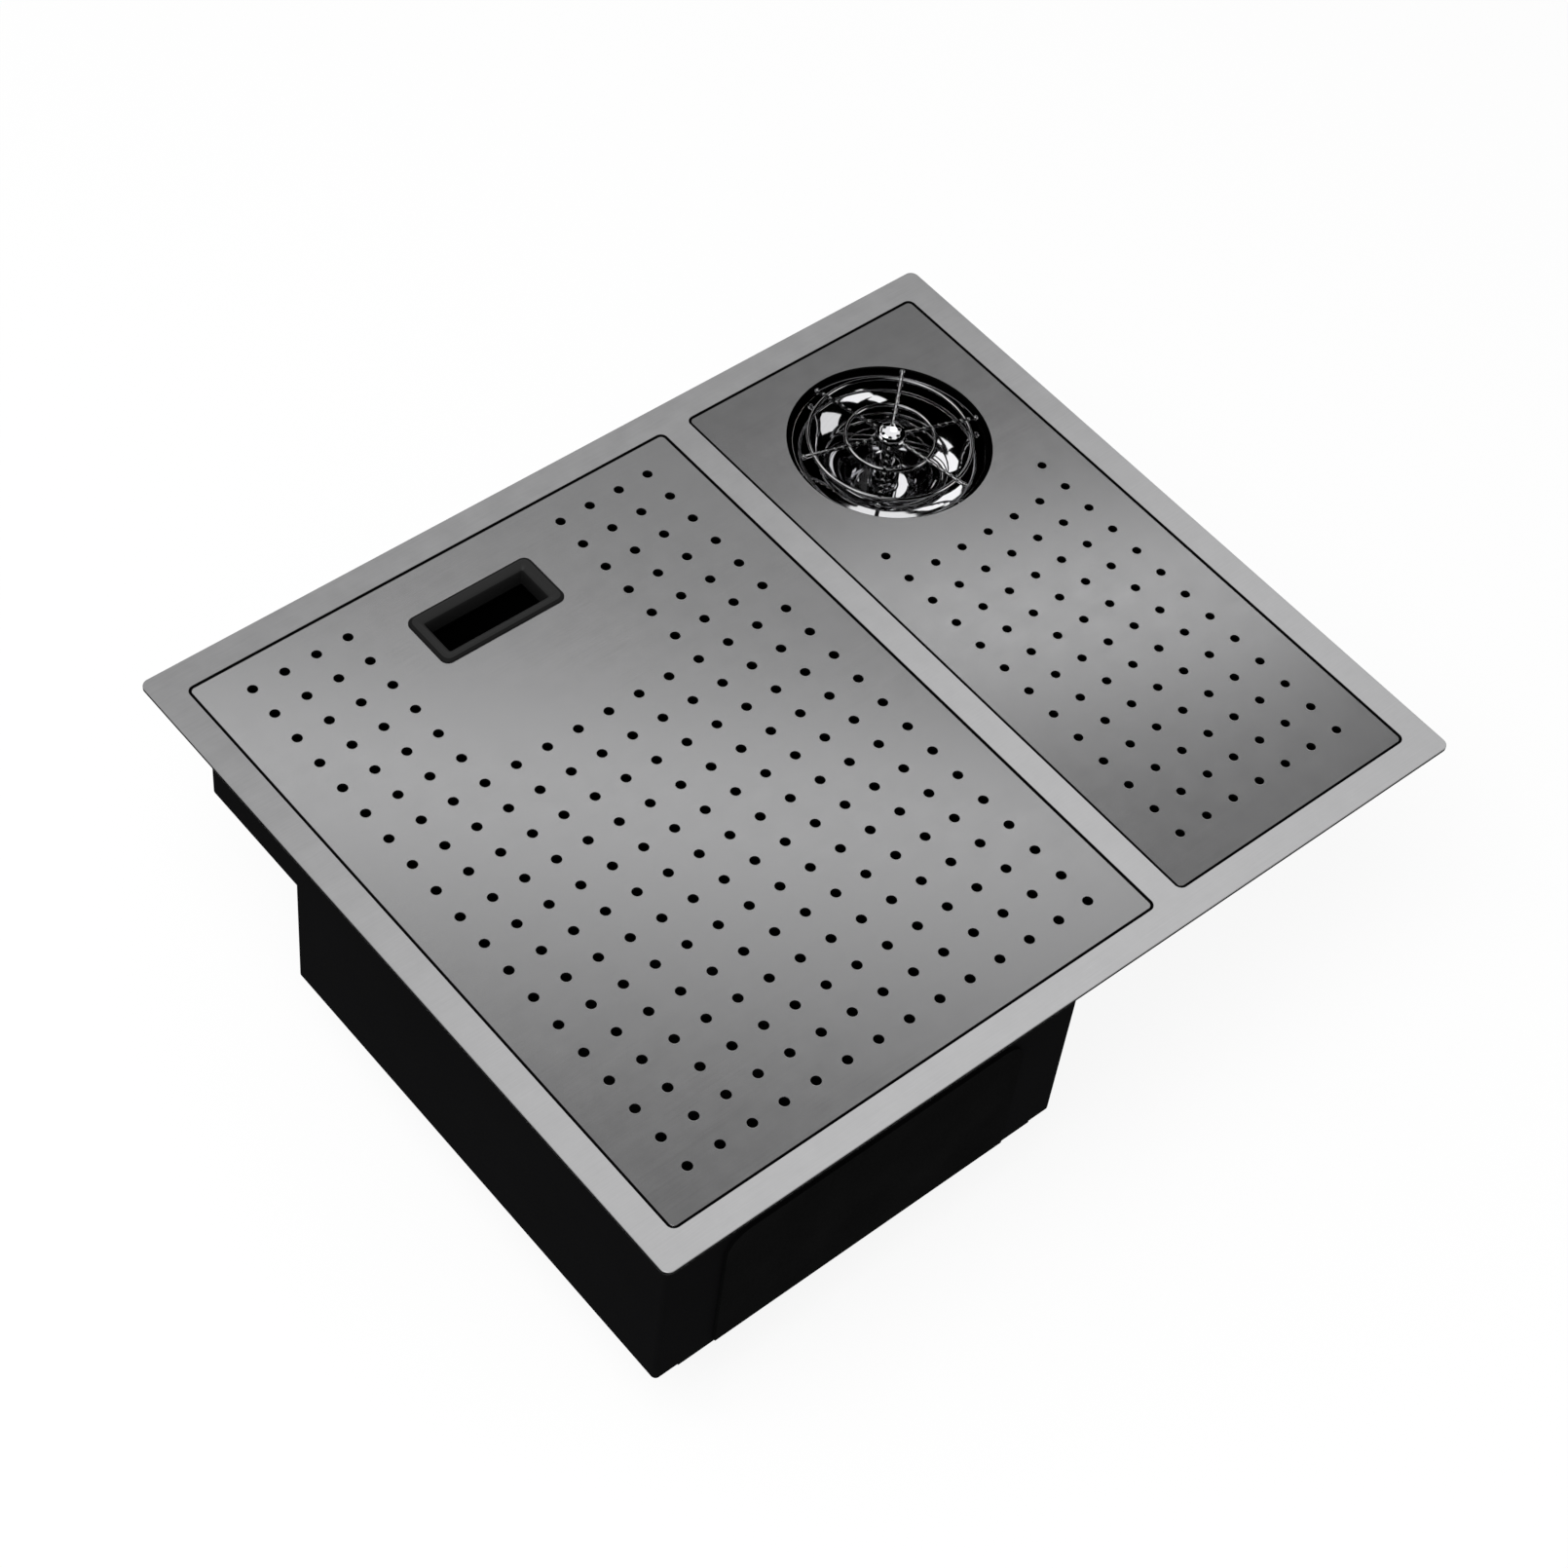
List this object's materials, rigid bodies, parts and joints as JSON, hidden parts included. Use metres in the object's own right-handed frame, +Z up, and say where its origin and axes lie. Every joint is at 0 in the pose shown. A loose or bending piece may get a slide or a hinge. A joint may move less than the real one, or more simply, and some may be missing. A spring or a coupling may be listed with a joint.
{
  "type": "workstation sink",
  "caption": "Workstation sink: brushed rim, black deep bowl, shallow tray, perforated lift-out covers, pressed glass rinser, strainer basket, overflow.",
  "frame": {"origin": "middle of the rim's top face", "axes": "+X to the right along the rim's long side, +Y to the back, +Z up"},
  "size_m": [0.55, 0.45, 0.2576],
  "materials": {
    "rim_steel": "fine brushed, light",
    "cover_steel": "satin, darker than the rim",
    "black_coat": "matt black coating",
    "plain_steel": "satin",
    "chrome": "polished",
    "brass": "turned",
    "black_rubber": "matt",
    "damping_pad": "matt",
    "silicone": "soft",
    "black_plastic": "moulded, fine grain",
    "waste_plastic": "moulded"
  },
  "bodies": {
    "sink": {"rim_frame": "rim_steel", "seat_frame": "black_coat", "bowl_shell": "black_coat", "side_tray": "black_coat", "cover_rail": "black_coat", "main_cover_cushions": "silicone", "side_cover_cushions": "silicone", "front_sound_pad": "damping_pad", "rear_sound_pad": "damping_pad", "floor_sound_pad": "damping_pad", "rinser_dish": "chrome", "dish_gasket": "black_rubber", "valve_body": "chrome", "neck_ring": "black_rubber", "return_spring": "plain_steel", "inlet_washer": "black_rubber", "inlet_nipple": "brass", "under_washer": "black_rubber", "plate_washer": "plain_steel", "shank_nut": "brass", "drain_cup": "plain_steel", "drain_top_seal": "black_rubber", "drain_under_seal": "black_rubber", "drain_housing": "waste_plastic", "clamp_screw": "plain_steel", "overflow_grille": "plain_steel", "overflow_seal": "black_rubber", "overflow_elbow": "waste_plastic", "overflow_screw": "plain_steel", "overflow_pipe": "waste_plastic"},
    "large_cover": {"main_cover": "cover_steel", "finger_pull_frame": "black_plastic"},
    "narrow_cover": {"side_cover": "cover_steel"},
    "spray_head": {"spray_star": "chrome", "spray_cap": "chrome", "spray_stem": "chrome", "poppet_seal": "black_rubber"},
    "strainer": {"strainer_basket": "plain_steel", "basket_seal": "black_rubber", "basket_knob": "plain_steel"}
  },
  "joints": [
    {"name": "large_cover_lift", "type": "slide", "parent": "sink", "child": "large_cover", "axis": [0, 0, 1], "range_m": [0, 0.15]},
    {"name": "narrow_cover_lift", "type": "slide", "parent": "sink", "child": "narrow_cover", "axis": [0, 0, 1], "range_m": [0, 0.15]},
    {"name": "spray_press", "type": "slide", "parent": "sink", "child": "spray_head", "axis": [0, 0, -1], "range_m": [0, 0.004], "stiffness_N_per_m": 1500, "springref_m": -0.003, "deforming": ["return_spring"]},
    {"name": "strainer_lift", "type": "slide", "parent": "sink", "child": "strainer", "axis": [0, 0, 1], "range_m": [0, 0.12]}
  ]
}
